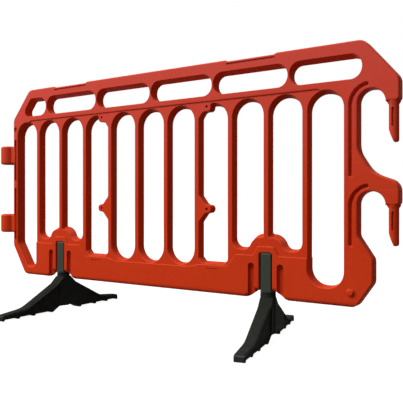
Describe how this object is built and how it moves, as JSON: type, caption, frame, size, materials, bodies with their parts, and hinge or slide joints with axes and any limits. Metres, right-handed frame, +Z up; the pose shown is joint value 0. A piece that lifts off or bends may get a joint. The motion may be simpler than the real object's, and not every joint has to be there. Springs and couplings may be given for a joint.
{
  "type": "pedestrian barrier panel",
  "caption": "Moulded plastic pedestrian barrier panel with arched upright slots, hand-holds in the top rail, hook pins and eyes for coupling, and swivelling feet.",
  "frame": {"origin": "on the ground, under the middle of the whole barrier's length and depth", "axes": "+X along the panel towards the hooks, -Y towards the front face, +Z up"},
  "size_m": [2, 0.716, 1.049],
  "materials": {
    "panel_plastic": "satin moulded polyethylene, orange-red",
    "foot_plastic": "dull black recycled plastic with a fine grain",
    "post_plastic": "smooth dark grey plastic",
    "bolt_steel": "zinc-plated steel"
  },
  "bodies": {
    "panel": {"top_rail": "panel_plastic", "bar_heads": "panel_plastic", "infill_bars": "panel_plastic", "bottom_rail": "panel_plastic", "left_end": "panel_plastic", "right_end": "panel_plastic", "upper_eye": "panel_plastic", "lower_eye": "panel_plastic", "upper_pin": "panel_plastic", "lower_pin": "panel_plastic", "sign_lugs": "panel_plastic", "left_post": "post_plastic", "right_post": "post_plastic", "left_bolt": "bolt_steel", "right_bolt": "bolt_steel", "left_washer": "bolt_steel", "right_washer": "bolt_steel"},
    "left_swivel": {"left_foot": "foot_plastic"},
    "right_swivel": {"right_foot": "foot_plastic"}
  },
  "joints": [
    {"name": "left_foot_swivel", "type": "hinge", "parent": "panel", "child": "left_swivel", "pos_m": [-0.56918, 0, 0.25], "axis": [0, 0, 1], "range_deg": [-90, 90]},
    {"name": "right_foot_swivel", "type": "hinge", "parent": "panel", "child": "right_swivel", "pos_m": [0.51518, 0, 0.25], "axis": [0, 0, 1], "range_deg": [-103, 77]}
  ]
}
